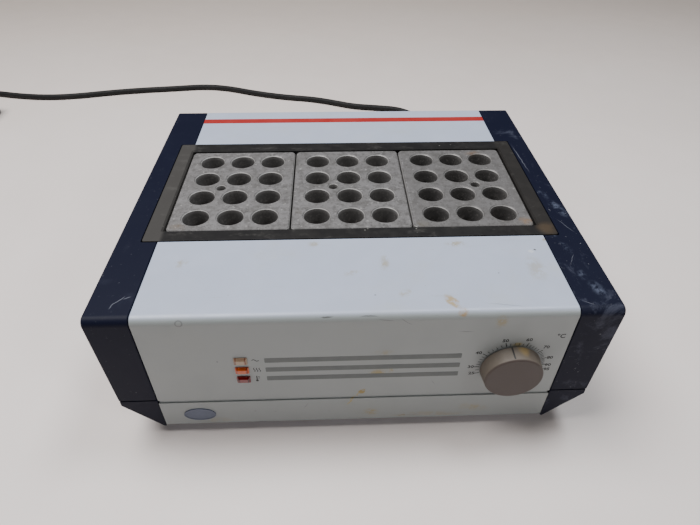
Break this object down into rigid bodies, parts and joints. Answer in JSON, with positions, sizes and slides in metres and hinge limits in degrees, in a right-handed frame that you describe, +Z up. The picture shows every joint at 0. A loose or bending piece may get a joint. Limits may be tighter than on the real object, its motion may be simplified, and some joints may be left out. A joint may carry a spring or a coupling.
{
  "type": "dry bath incubator",
  "caption": "Bench dry heater with a pale housing, dark end mouldings, lift-out aluminium tube blocks, a control knob, indicator lamps and a mains lead.",
  "frame": {"origin": "on the table, under the middle of the housing with its knob and fuse cap", "axes": "+X to the right seen from the front, front faces -Y, +Z up"},
  "size_m": [0.7252, 0.5541, 0.1014],
  "materials": {
    "pale": "satin",
    "navy": "satin",
    "bezel_black": "matte",
    "block_alu": "satin",
    "tray_alu": "satin",
    "mat_orange": "matte",
    "steel": "satin",
    "fibre": "matte",
    "brass": "satin",
    "knob_grey": "satin",
    "black_ink": "matte",
    "lens_clear": "gloss",
    "lens_amber": "gloss",
    "lens_red": "gloss",
    "black_plastic": "satin",
    "glass": "gloss",
    "board_green": "satin",
    "white_nylon": "satin",
    "rubber": "matte",
    "badge": "satin"
  },
  "bodies": {
    "housing": {"top_cover": "pale", "base_tray": "pale", "left_cheek": "navy", "right_cheek": "navy", "left_base_cheek": "navy", "right_base_cheek": "navy", "bezel": "bezel_black", "block_tray": "tray_alu", "heater_mat": "mat_orange", "clamp_plate": "steel", "insulation_jacket": "fibre", "sensor_probe": "steel", "thermal_cutout": "black_plastic", "tray_pillars": "steel", "potentiometer": "steel", "pot_nut": "brass", "lamp_power": "lens_clear", "lamp_heat": "lens_amber", "lamp_overtemp": "lens_red", "lamp_bodies": "white_nylon", "badge_plate": "badge", "rocker_frame": "black_plastic", "fuse_holder": "black_plastic", "fuse_link": "glass", "cord_gland": "rubber", "panel_nuts": "black_plastic", "circuit_board": "board_green", "board_pillars": "brass", "transformer": "steel", "relay": "black_plastic", "capacitors": "black_plastic", "control_chip": "black_plastic", "board_connector": "white_nylon", "heat_sink": "tray_alu", "triac": "black_plastic", "terminal_block": "white_nylon", "earth_stud": "brass", "earth_nuts": "brass", "rubber_feet": "rubber", "foot_screws": "steel", "cover_screws": "steel", "pillar_screws": "steel", "cheek_screws": "steel", "mains_cord": "rubber", "cord_coil": "rubber", "plug_body": "black_plastic", "plug_pins": "brass"},
    "block_left": {"block_left": "block_alu"},
    "block_middle": {"block_middle": "block_alu"},
    "block_right": {"block_right": "block_alu"},
    "knob": {"knob": "knob_grey", "knob_pointer": "black_ink", "knob_spindle": "steel"},
    "rocker": {"rocker": "black_plastic"},
    "fuse_cap": {"fuse_cap": "black_plastic"}
  },
  "joints": [
    {"name": "lift_left", "type": "slide", "parent": "housing", "child": "block_left", "axis": [0, 0, 1], "range_m": [0, 0.06]},
    {"name": "lift_middle", "type": "slide", "parent": "housing", "child": "block_middle", "axis": [0, 0, 1], "range_m": [0, 0.06]},
    {"name": "lift_right", "type": "slide", "parent": "housing", "child": "block_right", "axis": [0, 0, 1], "range_m": [0, 0.06]},
    {"name": "knob_turn", "type": "hinge", "parent": "housing", "child": "knob", "pos_m": [0.0875, -0.124, 0.0573], "axis": [0, 1, 0], "range_deg": [-99, 106]},
    {"name": "rocker_tilt", "type": "hinge", "parent": "housing", "child": "rocker", "pos_m": [0.01, 0.119, 0.054], "axis": [1, 0, 0], "range_deg": [0, 18]},
    {"name": "fuse_cap_turn", "type": "hinge", "parent": "housing", "child": "fuse_cap", "pos_m": [0.05, 0.122, 0.05], "axis": [0, 1, 0], "range_deg": [0, 90]}
  ]
}
